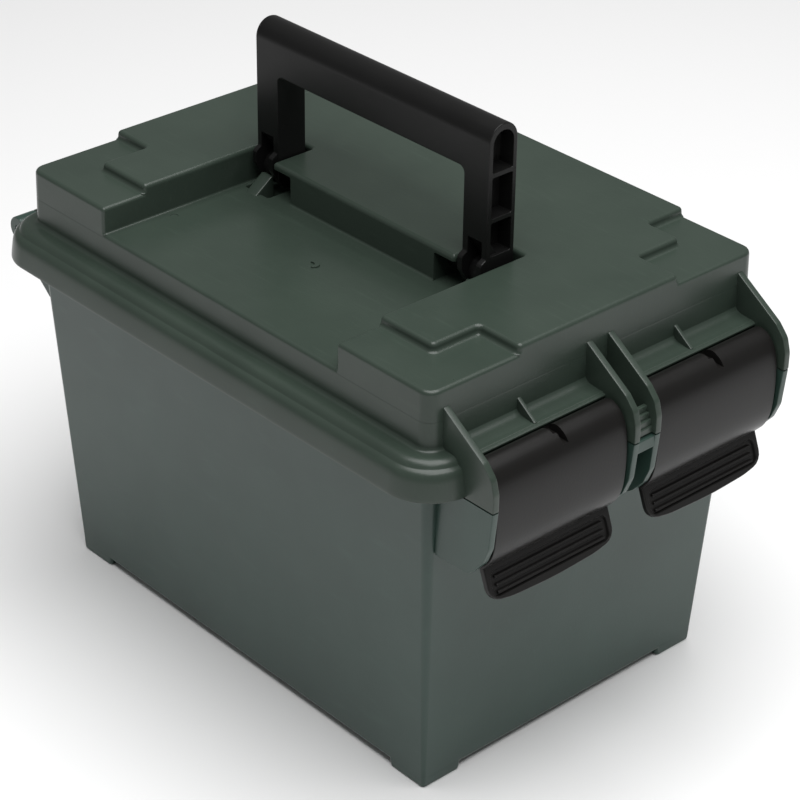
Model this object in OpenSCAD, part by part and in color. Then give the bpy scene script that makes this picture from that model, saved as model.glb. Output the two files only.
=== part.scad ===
// Hard storage box with a tapered tub, a hinged lid, two front latches and a folding handle.
// The latches face -Y, the lid hinges at +Y and the handle folds towards -X.
// Heights are measured from the surface that the feet stand on.

/* [Tub] */
// Outside width of the tub at its feet
tub_foot_w = 141.2; // [136:0.2:144]
// Outside length of the tub at its feet
tub_foot_l = 207; // [202:0.5:210]
// Growth of width and length from the feet to the lid's lower edge
tub_flare = 15.2; // [12:0.2:16]
// Radius of the tub's upright corners
tub_corner_r = 3; // [3:0.5:8]
// Thickness of the moulded walls
wall = 2.6; // [2.2:0.1:3]
// Height of the corner feet
foot_h = 3; // [2:0.5:4]
// Length of each foot along the tub's walls
foot_l = 18; // [12:1:24]

/* [Lid] */
// Outside width of the lid's skirt
skirt_w = 183; // [180:0.5:186]
// Outside length of the lid's skirt
skirt_l = 248; // [244:0.5:250]
// Radius of the skirt's corners
skirt_r = 19; // [14:0.5:22]
// Height of the skirt's lower edge
skirt_z = 136.2; // [134:0.2:137]
// Height of the skirt's outer step
step_z = 148.4; // [147:0.2:149]
// Height of the deck around the lid's raised top
deck_z = 150.2; // [149.6:0.2:151]
// Width of the raised top
hat_w = 159.2; // [156:0.2:160]
// Length of the raised top
hat_l = 224.2; // [222:0.2:225]
// Height of the four corner steps
corner_z = 172.7; // [171:0.1:174]
// Height of the plateau that the next box stacks on
plateau_z = 176.2; // [175:0.1:178]
// Height of the recess floor that the handle folds into
recess_z = 162.1; // [161:0.1:162.4]

/* [Handle] */
// Length of the handle over its legs
handle_l = 126.6; // [122:0.2:127]
// Width of each leg
leg_w = 12.5; // [11:0.1:13]
// Thickness of the handle
handle_t = 13.5; // [12:0.1:13.6]
// Height of the grip's top when the handle stands up
handle_top_z = 229.1; // [224:0.1:234]
// Height of the grip bar
grip_h = 19; // [16:0.2:22]

/* [Latches] */
// Width of each latch
latch_w = 61.8; // [58:0.2:62]
// Distance of each latch's middle from the box's middle
latch_x = 38.6; // [38.4:0.1:38.8]
// Furthest reach of the latch cheeks in front of the box's middle
cheek_reach = 137.2; // [136:0.1:139]
// Length of each latch's finger tab
tab_h = 14.6; // [12:0.2:16]

/* [Hinge] */
// Diameter of each hinge pin
hinge_pin_d = 3.2; // [2.6:0.1:4]
// Distance of each hinge's middle from the box's middle
hinge_x = 55; // [35:1:60]

/* [Hidden] */
$fn = 64;
eps = 0.01;
green = "#3b4a44";
black = "#1b1b1c";
dark_grey = "#38383a";
steel = "#9a9c9e";

// Tub
rim_z = 143.85;
rim_r = 10;
tub_taper = tub_flare / 2 / skirt_z;
rim_w = tub_foot_w + 2 * tub_taper * rim_z;
rim_l = tub_foot_l + 2 * tub_taper * rim_z;
foot_span_x = tub_foot_w / 2 - foot_l;
foot_span_y = tub_foot_l / 2 - foot_l;
flange_z = 137.4;
flange_t = 2.6;
flange_w = 175.2;
flange_l = 240;
flange_r = 17;

// Seal and the groove that holds it
seal_d = 3.2;
seal_w = rim_w - wall;
seal_l = rim_l - wall;
seal_r = rim_r - wall / 2;
deck_t = 2.8;
seal_gap = 0.05;
seal_z = deck_z - deck_t - seal_d / 2 - seal_gap;
groove_z = 141.2;
groove_gap = 2.45;
groove_wall = 2;

// Lid top
hat_r = 5;
step_in = 2.5;
stair_x1 = 38.9;
stair_x2 = 60.2;
stair_y1 = 92.5;
stair_y2 = 77;
recess_half_l = 65.8;
block_half_l = 39.9;
block_x = -11.25;
slot_x = 8.5;
roof_z = 173.6;
leg_gap = 0.5;
well_x = -13.9;
well_z = 158.9;
well_gap = 0.7;

// Handle pivot
pivot_x = -1.25;
pivot_z = recess_z + 0.3 + handle_t / 2;
leg_out = handle_l / 2;
leg_in = leg_out - leg_w;
trunnion_r = 3;
trunnion_end = block_half_l - 3.6;
boss_r = 4;
socket_depth = 4.4;
socket_boss_r = 5.5;
run_gap = 0.06;
toe_x = -10.5;
toe_top_z = 177;
toe_low_z = 171.5;
groove_half_w = 3.6;
groove_r = 5.9;
notch_edge = [[-0.8, 7], [-7.5, 16.4]];
ramp_half_w = 3.1;
ramp_y = 57.3;
ramp_top_x = -7.4;
ramp_foot_x = -16;
ramp_h = 5.8;
pocket_depth = 10.2;
pocket_wall = 1.9;
pocket_rib_t = 1.7;
pocket_ribs_z = [192.8, 210.3];
pocket_skin = 1.2;

// Latches, catches and cheeks, as distances in front of the box's middle and heights
cheek_t = 2.8;
cheek_x = 72;
hasp_x = 5.2;
bay_d = 121.2;
bay_wall = 2.4;
bay_gap = 0.6;
pin_d = 126.2;
pin_z = 145.6;
barrel_r = 4.6;
latch_t = 2.4;
latch_trunnion_r = 2;
latch_trunnion_l = 2.4;
latch_socket_l = 1.9;
split_gap = 0.4;
catch_z = 117.5;
catch_t = 3;
catch_d = 122.5;
hook_gap = 0.3;
hook_h = 3.1;
hook_root_d = 131.6;
tab_tilt = 21;
tab_root = [128.6, 108.3];
tab_side = 1;
tab_corner_r = 6;
tab_bow_r = 145;
tab_frame = 2;
tab_sunk = 1;
tab_rib_t = 1;
tab_ribs = [5.2, 9, 12.4];
latch_outer = [[pin_d, pin_z + barrel_r], [130.6, 148.6], [133.2, 145], [134.8, 139.5], [135.2, 132],
    [134.9, 122.5], [134, 116.8], [132.2, 112.4], tab_root];
latch_inner = [[126.9, 110], [130.1, 113.8], [131.6, 117.6], [132.4, 122.8], [132.8, 132],
    [132.4, 138.8], [131, 143], [128.6, 145.8], [pin_d, pin_z]];
latch_bore_l = cheek_x - hasp_x - cheek_t + 2 * latch_socket_l;
gusset_t = 1.6;
gusset_top = [112.4, 156.2];
hasp_bar_t = 6;
hasp_bar_top = 146;
hasp_bar_low = 128.4;

// Hinge
hinge_y = 132.2;
hinge_z = 137;
knuckle_r = 5;
lid_knuckle_l = 18.4;
tub_knuckle_l = 9.4;
knuckle_gap = 0.4;
press_fit = 0.02;

// A slab with round corners, centred on the Z axis, with its lower face at height z
module slab(w, l, r, z, h)
    translate([0, 0, z])
        linear_extrude(h)
            rounded(w, l, r);

module rounded(w, l, r) {
    square([w - 2 * r, l], center = true);
    square([w, l - 2 * r], center = true);
    for (sx = [-1, 1], sy = [-1, 1])
        translate([sx * (w / 2 - r), sy * (l / 2 - r)])
            circle(r);
}

// A ring with round corners: the slab w by l with a wall t thick around an open middle
module ring(w, l, r, z, h, t)
    difference() {
        slab(w, l, r, z, h);
        slab(w - 2 * t, l - 2 * t, max(r - t, 0.5), z - 1, h + 2);
    }

// An outline drawn as [distance in front, height] and extruded along X from x0 for a length l
module front_plate(x0, l)
    translate([x0, 0, 0])
        rotate([90, 0, 90])
            linear_extrude(l)
                mirror([1, 0])
                    children();

// The same behind the box's middle, for the rear hinge
module rear_plate(x0, l)
    translate([x0, 0, 0])
        rotate([90, 0, 90])
            linear_extrude(l)
                children();

// A solid that tapers as the tub's wall does, from height z0 to z1, moved in by an inset
module tapered(z0, z1, inset)
    hull()
        for (z = [z0, z1])
            translate([0, 0, z])
                linear_extrude(eps)
                    corner_circles(tub_foot_w + 2 * (tub_taper * z - inset),
                        tub_foot_l + 2 * (tub_taper * z - inset), max(tub_corner_r - inset, 0.5));

module corner_circles(w, l, r)
    for (sx = [-1, 1], sy = [-1, 1])
        translate([sx * (w / 2 - r), sy * (l / 2 - r)])
            circle(r, $fn = 32);

// Outline shared by the cheeks and the hasp ribs, before it is split between lid and tub
module cheek_outline()
    polygon([
        [108, 166.2],
        [112.4, 165.8],
        [131.5, 153.2],
        [cheek_reach - 1.6, 148.6],
        [cheek_reach, 143],
        [cheek_reach, 137],
        [cheek_reach - 1.6, 121],
        [cheek_reach - 4.2, 114.6],
        [cheek_reach - 8.8, 109.2],
        [125.5, 107],
        [119, 106.6],
        [108, 106.6]
    ]);

module above_split()
    translate([100, skirt_z + split_gap / 2])
        square([60, 60]);

module below_split()
    translate([100, skirt_z - split_gap - 60])
        square([60, 60]);

function cheek_starts() = [-cheek_x, -hasp_x, hasp_x, cheek_x];

module tub() color(green) difference() {
    union() {
        difference() {
            tapered(0, flange_z + flange_t - eps, 0);
            tapered(foot_h + wall, flange_z + flange_t + 1, wall);
            translate([-foot_span_x, -200, -1])
                cube([2 * foot_span_x, 400, foot_h + 1]);
            translate([-150, -foot_span_y, -1])
                cube([300, 2 * foot_span_y, foot_h + 1]);
        }
        tub_flange();
        tub_cheeks();
        tub_catches();
        tub_hinge();
    }
    for (x = [-hinge_x, hinge_x])
        translate([x - 30, hinge_y, hinge_z])
            rotate([0, 90, 0])
                cylinder(r = hinge_pin_d / 2 - press_fit, h = 60);
}

// The flange that the lid's skirt covers, and the rim that presses on the seal
module tub_flange() {
    difference() {
        slab(flange_w, flange_l, flange_r, flange_z, flange_t);
        slab(rim_w - 2 * wall, rim_l - 2 * wall, rim_r - wall, flange_z - 1, flange_t + 2);
        translate([-cheek_x - cheek_t, -bay_d - 20, flange_z - 1])
            cube([2 * (cheek_x + cheek_t), 20 + bay_wall + bay_gap, flange_t + 2]);
    }
    ring(rim_w, rim_l, rim_r, flange_z + eps, rim_z - flange_z - eps, wall);
}

module tub_cheeks() {
    for (x = cheek_starts())
        front_plate(x - cheek_t / 2, cheek_t)
            difference() {
                intersection() {
                    cheek_outline();
                    below_split();
                }
                polygon([[100, 90], [109, 90], [109.6, 140], [100, 140]]);
            }
    front_plate(-hasp_x, 2 * hasp_x)
        translate([cheek_reach - 0.6 - hasp_bar_t, hasp_bar_low])
            square([hasp_bar_t, skirt_z - split_gap - hasp_bar_low]);
}

module tub_catches()
    for (s = [-1, 1])
        translate([s * latch_x - (cheek_x - hasp_x) / 2, -catch_d, catch_z])
            cube([cheek_x - hasp_x, catch_d - 109.5, catch_t]);

module tub_hinge()
    for (x = [-hinge_x, hinge_x], s = [-1, 1])
        translate([x + s * (lid_knuckle_l / 2 + knuckle_gap + tub_knuckle_l / 2), 0, 0]) {
            translate([-tub_knuckle_l / 2, hinge_y, hinge_z])
                rotate([0, 90, 0])
                    cylinder(r = knuckle_r, h = tub_knuckle_l);
            rear_plate(-tub_knuckle_l / 2, tub_knuckle_l)
                polygon([[109.6, 112], [hinge_y + 2, hinge_z - 4.4], [hinge_y, hinge_z], [127.4, hinge_z],
                    [127.4, skirt_z - 0.6], [110.5, skirt_z - 0.6]]);
        }

module hinge_pin()
    translate([-(lid_knuckle_l / 2 + knuckle_gap + tub_knuckle_l), hinge_y, hinge_z])
        rotate([0, 90, 0])
            cylinder(r = hinge_pin_d / 2, h = lid_knuckle_l + 2 * (knuckle_gap + tub_knuckle_l));

module hinge_pin_left() color(steel) translate([-hinge_x, 0, 0]) hinge_pin();

module hinge_pin_right() color(steel) translate([hinge_x, 0, 0]) hinge_pin();

module lid() color(green) difference() {
    union() {
        lid_skirt();
        lid_top();
        lid_cheeks();
        lid_hinge_knuckles();
        handle_sockets();
        handle_ramps();
    }
    lid_bores();
}

// Skirt, deck and the seal's groove
module lid_skirt() {
    difference() {
        union() {
            slab(skirt_w, skirt_l, skirt_r, skirt_z, step_z - skirt_z);
            slab(skirt_w - 2 * step_in, skirt_l - 2 * step_in, skirt_r - step_in, skirt_z, deck_z - skirt_z);
        }
        slab(skirt_w - 2 * bay_wall, skirt_l - 2 * bay_wall, skirt_r - bay_wall, skirt_z - 1,
            deck_z - deck_t - skirt_z + 1);
        slab(seal_w - 2 * (groove_gap + groove_wall), seal_l - 2 * (groove_gap + groove_wall),
            seal_r - groove_gap - groove_wall, skirt_z, 40);
        latch_bays();
    }
    ring(seal_w + 2 * (groove_gap + groove_wall), seal_l + 2 * (groove_gap + groove_wall),
        seal_r + groove_gap + groove_wall, groove_z, deck_z - 1 - groove_z, groove_wall);
    ring(seal_w - 2 * groove_gap, seal_l - 2 * groove_gap, seal_r - groove_gap, groove_z,
        deck_z - 1 - groove_z, groove_wall);
    for (s = [-1, 1])
        translate([s * latch_x - (cheek_x - hasp_x) / 2, -bay_d, skirt_z])
            cube([cheek_x - hasp_x, bay_wall, deck_z - 1 - skirt_z]);
}

module latch_bays()
    for (s = [-1, 1])
        translate([s * latch_x - (cheek_x - hasp_x) / 2, -bay_d - 20, skirt_z - 1])
            cube([cheek_x - hasp_x, 20, 30]);

// The plateau steps back twice at the corners on the +X side and once on the -X side, where it stops
// short of the lid's edge
module plateau_outline(inset) {
    x1 = stair_x1 - inset;
    x2 = stair_x2 - inset;
    x3 = hat_w / 2 - inset;
    y1 = stair_y1 - inset;
    y2 = stair_y2 - inset;
    y3 = hat_l / 2 - inset;
    half = [[-x2, -y1], [-x1, -y1], [-x1, -y3], [x1, -y3], [x1, -y1], [x2, -y1], [x2, -y2], [x3, -y2]];
    other_half = [for (i = [len(half) - 1:-1:0]) [half[i][0], -half[i][1]]];
    polygon(concat(half, other_half));
}

// The recess, the two leg slots, the spaces under the roofs beside them and the wells for the feet,
// grown by a wall on every side
module handle_space(grow) {
    slot_l = slot_x + 1 - block_x + grow;
    translate([-hat_w, -recess_half_l - grow, recess_z - grow])
        cube([hat_w + block_x + grow, 2 * (recess_half_l + grow), 60]);
    for (s = [0, 1])
        mirror([0, s, 0]) {
            translate([block_x - 1, block_half_l - grow, recess_z - grow])
                cube([slot_l, leg_in - block_half_l, roof_z - recess_z + 2 * grow]);
            translate([block_x - 1, leg_in - leg_gap - grow, recess_z - grow])
                cube([slot_l, recess_half_l - leg_in + leg_gap + 2 * grow, 60]);
            translate([well_x - grow, leg_in - well_gap - grow, well_z - grow])
                cube([slot_x - well_x + 2 * grow, leg_w + 2 * (well_gap + grow), recess_z - well_z + 1]);
        }
}

module lid_top()
    difference() {
        union() {
            slab(hat_w, hat_l, hat_r, deck_z - 1, corner_z - deck_z + 1);
            translate([0, 0, deck_z])
                linear_extrude(plateau_z - deck_z)
                    plateau_outline(0);
        }
        difference() {
            union() {
                slab(hat_w - 2 * wall, hat_l - 2 * wall, hat_r - wall, deck_z - 2,
                    corner_z - wall - deck_z + 2);
                translate([0, 0, deck_z])
                    linear_extrude(plateau_z - wall - deck_z)
                        plateau_outline(wall);
            }
            handle_space(wall);
        }
        handle_space(0);
    }

module lid_cheeks() {
    for (x = cheek_starts())
        front_plate(x - cheek_t / 2, cheek_t)
            intersection() {
                cheek_outline();
                above_split();
                union() {
                    translate([bay_d - bay_wall, 0])
                        square([60, 200]);
                    translate([hat_l / 2 - 0.6, deck_z - 1])
                        square([60, 60]);
                }
            }
    for (s = [-1, 1])
        front_plate(s * latch_x - gusset_t / 2, gusset_t)
            polygon([[gusset_top[0] - 1, deck_z - 1], [gusset_top[0] - 1, gusset_top[1] + 0.4], gusset_top,
                [bay_d - 0.2, deck_z], [bay_d - 0.2, deck_z - 1]]);
    front_plate(-hasp_x, 2 * hasp_x)
        translate([cheek_reach - 0.6 - hasp_bar_t, skirt_z + split_gap / 2])
            square([hasp_bar_t, hasp_bar_top - skirt_z - split_gap / 2]);
}

module lid_hinge_knuckles()
    for (x = [-hinge_x, hinge_x]) {
        translate([x - lid_knuckle_l / 2, hinge_y, hinge_z])
            rotate([0, 90, 0])
                cylinder(r = knuckle_r, h = lid_knuckle_l);
        translate([x - lid_knuckle_l / 2, skirt_l / 2 - 1, hinge_z])
            cube([lid_knuckle_l, hinge_y - skirt_l / 2 + 1, knuckle_r]);
    }

module handle_sockets()
    for (s = [-1, 1])
        translate([pivot_x, s * (block_half_l - 1), pivot_z])
            rotate([s * 90, 0, 0])
                cylinder(r = socket_boss_r, h = socket_depth + 1);

module handle_ramps()
    for (s = [-1, 1])
        translate([0, s * ramp_y + ramp_half_w, 0])
            rotate([90, 0, 0])
                linear_extrude(2 * ramp_half_w)
                    polygon([
                        [ramp_foot_x - 2, recess_z - 1],
                        [ramp_foot_x, recess_z],
                        [ramp_top_x, recess_z + ramp_h],
                        [ramp_top_x, well_z - 1],
                        [ramp_foot_x - 2, well_z - 1]
                    ]);

module lid_bores() {
    for (x = [-hinge_x, hinge_x])
        translate([x - lid_knuckle_l, hinge_y, hinge_z])
            rotate([0, 90, 0])
                cylinder(r = hinge_pin_d / 2 + run_gap, h = 2 * lid_knuckle_l);
    for (s = [-1, 1])
        translate([pivot_x, s * (block_half_l + 1), pivot_z])
            rotate([s * 90, 0, 0])
                cylinder(r = trunnion_r + run_gap, h = socket_depth + 1);
    for (s = [-1, 1])
        translate([s * latch_x - latch_bore_l / 2, -pin_d, pin_z])
            rotate([0, 90, 0])
                cylinder(r = latch_trunnion_r + run_gap, h = latch_bore_l);
}

module seal_ring() color(black) {
    x = seal_w / 2;
    y = seal_l / 2;
    translate([0, 0, seal_z]) {
        for (s = [-1, 1]) {
            translate([s * x, seal_r - y, 0])
                rotate([-90, 0, 0])
                    cylinder(d = seal_d, h = 2 * (y - seal_r));
            translate([seal_r - x, s * y, 0])
                rotate([0, 90, 0])
                    cylinder(d = seal_d, h = 2 * (x - seal_r));
        }
        for (q = [0:3]) {
            sx = q == 0 || q == 3 ? 1 : -1;
            sy = q < 2 ? 1 : -1;
            translate([sx * (x - seal_r), sy * (y - seal_r), 0])
                rotate([0, 0, 90 * q])
                    rotate_extrude(angle = 90)
                        translate([seal_r, 0])
                            circle(d = seal_d);
        }
    }
}

// A curved wall with a barrel that turns between the cheeks, and a hook that reaches under the catch
module latch() {
    x0 = -latch_w / 2;
    difference() {
        union() {
            front_plate(x0, latch_w) {
                polygon(concat(latch_outer, latch_inner));
                translate([pin_d, pin_z])
                    circle(barrel_r);
                polygon([
                    [catch_d + hook_gap, catch_z - hook_gap - hook_h],
                    [catch_d + hook_gap, catch_z - hook_gap],
                    [hook_root_d, catch_z + 2],
                    [hook_root_d, catch_z - 5]
                ]);
            }
            latch_tab();
        }
        latch_notch();
    }
    for (s = [-1, 1])
        translate([s * latch_w / 2, -pin_d, pin_z])
            rotate([0, s * 90, 0])
                translate([0, 0, -3])
                    cylinder(r = latch_trunnion_r, h = latch_trunnion_l + 3);
}

// The finger tab: a tilted panel with round lower corners, a bowed lower edge, a sunk face and ribs
module latch_tab() {
    tab_w = latch_w - 2 * tab_side;
    translate([0, -tab_root[0], tab_root[1]])
        rotate([90 - tab_tilt, 0, 0]) {
            difference() {
                translate([0, 0, -latch_t])
                    linear_extrude(latch_t)
                        tab_outline(tab_w, 0);
                translate([0, 0, -tab_sunk])
                    linear_extrude(2 * tab_sunk)
                        intersection() {
                            tab_outline(tab_w, tab_frame);
                            translate([-latch_w, -2 * tab_h])
                                square([2 * latch_w, 2 * tab_h - tab_frame]);
                        }
            }
            for (y = tab_ribs)
                translate([tab_corner_r - tab_w / 2, -y - tab_rib_t / 2, -tab_sunk - 0.2])
                    cube([tab_w - 2 * tab_corner_r, tab_rib_t, tab_sunk + 0.2]);
        }
}

module tab_outline(tab_w, inset) {
    w = tab_w - 2 * inset;
    r = tab_corner_r - inset / 2;
    h = tab_h - inset;
    intersection() {
        translate([0, tab_bow_r - h])
            circle(tab_bow_r);
        union() {
            translate([-w / 2, r - h])
                square([w, h - r + 1]);
            translate([r - w / 2, -h])
                square([w - 2 * r, h + 1]);
            for (s = [-1, 1])
                translate([s * (w / 2 - r), r - h])
                    circle(r);
        }
    }
}

module latch_notch()
    front_plate(-0.1, 3)
        polygon([
            [pin_d - 6, pin_z + 3],
            [pin_d - 6, pin_z + 6],
            [pin_d + 8, pin_z + 6],
            [pin_d + 8, pin_z - 0.6],
            [pin_d + 4.4, pin_z - 0.6],
            [pin_d, pin_z + 3]
        ]);

module latch_left() color(dark_grey) translate([-latch_x, 0, 0]) latch();

module latch_right() color(dark_grey) translate([latch_x, 0, 0]) latch();

module handle() color(black) {
    x0 = pivot_x - handle_t / 2;
    difference() {
        union() {
            translate([x0, leg_out, 0])
                rotate([90, 0, 0])
                    linear_extrude(handle_l) {
                        translate([0, handle_top_z - grip_h])
                            square([handle_t, grip_h - handle_t / 2]);
                        translate([handle_t / 2, handle_top_z - handle_t / 2])
                            circle(d = handle_t);
                    }
            for (s = [-1, 1])
                handle_leg(s);
        }
        for (s = [-1, 1])
            leg_pockets(s);
    }
}

module handle_leg(s) {
    y0 = s > 0 ? leg_in : -leg_out;
    x0 = pivot_x - handle_t / 2;
    difference() {
        union() {
            translate([x0, y0, pivot_z])
                cube([handle_t, leg_w, handle_top_z - grip_h - pivot_z + 1]);
            translate([pivot_x, y0 + leg_w, pivot_z])
                rotate([90, 0, 0])
                    cylinder(d = handle_t, h = leg_w);
            translate([0, y0 + leg_w, 0])
                rotate([90, 0, 0])
                    linear_extrude(leg_w)
                        polygon([[x0 + 1, pivot_z], [x0, pivot_z], [toe_x, toe_low_z], [toe_x, toe_top_z],
                            [x0 + 1, toe_top_z + 1]]);
        }
        foot_groove(s, 0);
    }
    translate([pivot_x, s * (leg_in + 0.5), pivot_z])
        rotate([s * 90, 0, 0]) {
            cylinder(r = boss_r, h = leg_in + 0.5 - block_half_l - 0.4);
            cylinder(r = trunnion_r, h = leg_in + 0.5 - trunnion_end);
        }
}

// The groove in a foot that passes over the lid's ramp as the handle folds: an arc around the pivot,
// and above it a notch that the ramp fills when the handle lies down
module foot_groove(s, grow)
    translate([0, s * ramp_y + groove_half_w + grow, 0])
        rotate([90, 0, 0])
            linear_extrude(2 * (groove_half_w + grow))
                translate([pivot_x, pivot_z])
                    polygon(concat(
                        [[toe_x - pivot_x - 1, -12]],
                        [for (a = [245:-7:98]) (groove_r - grow) * [cos(a), sin(a)]],
                        [for (p = notch_edge) p + [grow, grow]],
                        [[toe_x - pivot_x - 1, notch_edge[1][1] + grow]]
                    ));

// Open cells in the outer face of a leg, parted by two cross ribs
module leg_pockets(s) difference() {
    leg_cells(s);
    foot_groove(s, pocket_skin);
}

module leg_cells(s) {
    y0 = s > 0 ? leg_out - pocket_depth : -leg_out - 1;
    w = handle_t - 2 * pocket_wall;
    x0 = pivot_x - w / 2;
    cells = [[toe_top_z + 1, pocket_ribs_z[0]], [pocket_ribs_z[0], pocket_ribs_z[1]],
        [pocket_ribs_z[1], handle_top_z - pocket_wall - w / 2]];
    for (i = [0:2]) {
        top_rib = i < 2 ? pocket_rib_t / 2 : 0;
        translate([x0, y0, cells[i][0] + pocket_rib_t / 2])
            cube([w, pocket_depth + 1, cells[i][1] - cells[i][0] - pocket_rib_t / 2 - top_rib]);
    }
    translate([pivot_x, y0, cells[2][1]])
        rotate([-90, 0, 0])
            cylinder(d = w, h = pocket_depth + 1);
}

tub();
hinge_pin_left();
hinge_pin_right();
lid();
seal_ring();
latch_left();
latch_right();
handle();
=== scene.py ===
import math

import bmesh
import bpy
from mathutils import Matrix, Vector


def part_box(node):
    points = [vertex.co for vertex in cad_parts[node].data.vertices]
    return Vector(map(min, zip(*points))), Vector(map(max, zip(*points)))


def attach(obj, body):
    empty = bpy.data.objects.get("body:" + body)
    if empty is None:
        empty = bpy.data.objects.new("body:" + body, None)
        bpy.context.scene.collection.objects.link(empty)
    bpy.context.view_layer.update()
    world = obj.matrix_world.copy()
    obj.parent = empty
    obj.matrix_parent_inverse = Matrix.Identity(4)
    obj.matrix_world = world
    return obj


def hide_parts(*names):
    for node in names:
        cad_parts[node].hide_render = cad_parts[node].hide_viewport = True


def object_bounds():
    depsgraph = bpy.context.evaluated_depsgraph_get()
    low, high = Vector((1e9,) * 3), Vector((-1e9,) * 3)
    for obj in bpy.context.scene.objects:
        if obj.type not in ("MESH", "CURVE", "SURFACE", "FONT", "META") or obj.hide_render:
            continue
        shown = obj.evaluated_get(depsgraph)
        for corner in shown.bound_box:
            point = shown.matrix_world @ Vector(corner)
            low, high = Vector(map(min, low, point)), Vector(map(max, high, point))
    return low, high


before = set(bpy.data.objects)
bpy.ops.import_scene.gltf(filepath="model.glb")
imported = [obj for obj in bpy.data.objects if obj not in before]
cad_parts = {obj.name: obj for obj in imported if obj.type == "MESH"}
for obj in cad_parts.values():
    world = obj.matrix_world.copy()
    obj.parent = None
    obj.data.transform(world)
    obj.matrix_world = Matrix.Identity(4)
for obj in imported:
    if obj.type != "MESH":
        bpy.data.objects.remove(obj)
cad_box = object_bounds()

# Lengths below are in millimetres, in the CAD frame: the latches face -Y and the lid hinges at +Y.
# "d" is a distance in front of the box's middle, so y = -d.
MM = 0.001


def node_box(node):
    low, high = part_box(node)
    return low / MM, high / MM


tub_high = node_box("tub")[1]
lid_low, lid_high = node_box("lid")
handle_low, handle_high = node_box("handle")
latch_low, latch_high = node_box("latch_right")

# Tub
TUB_HALF_X = 70.6
TUB_HALF_Y = 103.5
TUB_TAPER = 7.6 / 136.2
WALL = 2.6
FOOT_H = 3.0
FOOT_L = 18.0
FLANGE_Z = 137.4
FLANGE_T = 2.6
FLANGE_HALF = (87.6, 120.0)
RIM_Z = tub_high.z
RIM_HALF = (TUB_HALF_X + TUB_TAPER * RIM_Z, TUB_HALF_Y + TUB_TAPER * RIM_Z)
RIM_R = 10.0

# Lid
SKIRT_HALF = (lid_high.x, 124.0)
SKIRT_R = 19.0
SKIRT_BASE = 136.2
DECK_Z = 150.2
DECK_T = 2.8
SKIRT_WALL = 2.4
HAT_HALF = (79.35, 112.0)
HAT_R = 5.0
HAT_DRAFT = 0.022
RECESS_Z = 162.1
CORNER_Z = 172.7
PLATEAU_Z = lid_high.z
STAIR_X = (38.9, 60.2)
STAIR_Y = (92.5, 77.0)
RECESS_HALF_L = 65.8
BLOCK_HALF_L = 39.9
BLOCK_X = -11.25
SLOT_X = 8.5
ROOF_Z = 173.6
LEG_SLOT_Y = 50.3
GATE = (-36.3, -3.2)
EJECTOR = (-50.2, 61.4)
WELL_X = -13.9
WELL_Z = 158.9
WELL_GAP = 0.7
RAMP_Y = 57.3
RAMP_HALF_W = 3.1
RAMP_TOP = (-7.4, 167.9)
GROOVE_Z = 141.2
GROOVE_GAP = 2.45
GROOVE_WALL = 2.0

# Handle
PIVOT = (-1.25, 169.15)
HANDLE_HALF_L = handle_high.y
HANDLE_T = 13.5
HANDLE_TOP = handle_high.z
GRIP_LOW = HANDLE_TOP - 19.0
LEG_W = 12.5
TOE_X = handle_low.x
GROOVE_R = 5.9
GROOVE_HALF_W = 3.6
NOTCH_EDGE = ((-0.8, 7.0), (-7.5, 16.4))
CELL_RIBS = (178.0, 192.8, 210.3)
CELL_RIB_HALF_T = 0.85
# The visual cells are shallower than the CAD's, which are 10.2 deep
CELL_DEPTH = 6.0
CELL_WALL = 1.9
CELL_SKIN = 1.2
TRUNNION_R = 3.0
BOSS_R = 4.0
SOCKET_BOSS_R = 5.5
SOCKET_DEPTH = 4.4

# Latches, cheeks and the hasp between the latches
CHEEK_REACH = -lid_low.y
CHEEK_X = (5.2, 72.0)
CHEEK_T = 2.8
BAY_D = 121.2
LEDGE_D = 122.3
LEDGE_R = 3.4
LEDGE_LOW = 148.6
LEDGE_TOP = 150.6
LEDGE_BACK = 111.0
LATCH_MID = (latch_low.x + latch_high.x) / 2
LATCH_HALF_W = 30.9
PIN_D = 126.2
PIN_Z = 145.6
BARREL_R = 4.6
LATCH_TRUNNION_R = 2.0
SPLIT_GAP = 0.4
CATCH = (122.5, 117.5)
HASP_D = CHEEK_REACH - 0.6

# Hinge
HINGE = (132.2, 137.0)
HINGE_X = 55.0
KNUCKLE_R = 5.0
LID_KNUCKLE_HALF = 9.2
TUB_KNUCKLE_L = 9.4
KNUCKLE_GAP = 0.4
HINGE_PIN_R = 1.6

# Radial fits: what turns has a gap, and the hinge pins are pressed into the tub
RUN_GAP = 0.06
PRESS = 0.02


# ---------------------------------------------------------------- shape helpers

def outline(corners, inset=0.0, steps=5):
    """The points of a closed, counter-clockwise outline with round corners, moved in by an inset.

    Each corner is (x, y, radius). The inset may be a list with one value for the edge after each corner.
    """
    count = len(corners)
    insets = inset if isinstance(inset, list) else [inset] * count
    points = []
    for i, (x, y, radius) in enumerate(corners):
        corner = Vector((x, y))
        before = (corner - Vector(corners[i - 1][:2])).normalized()
        after = (Vector(corners[(i + 1) % count][:2]) - corner).normalized()
        side_in = Vector((-before.y, before.x))
        side_out = Vector((-after.y, after.x))
        inset_in = insets[i - 1]
        inset_out = insets[i]
        turn = math.atan2(before.x * after.y - before.y * after.x, before.dot(after))
        sine = math.sin(turn)
        if abs(sine) < 1e-4:
            corner = corner + side_in * inset_in
        else:
            corner = corner + Vector((inset_in * side_out.y - inset_out * side_in.y,
                                      inset_out * side_in.x - inset_in * side_out.x)) / sine
        if radius == 0:
            points.append(corner)
            continue
        bend = 1 if turn > 0 else -1
        radius = max(radius - bend * (inset_in + inset_out) / 2, 0.05)
        start = corner - before * radius * math.tan(abs(turn) / 2)
        centre = start + side_in * radius * bend
        for step in range(steps + 1):
            points.append(centre + Matrix.Rotation(turn * step / steps, 2) @ (start - centre))
    return points


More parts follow.
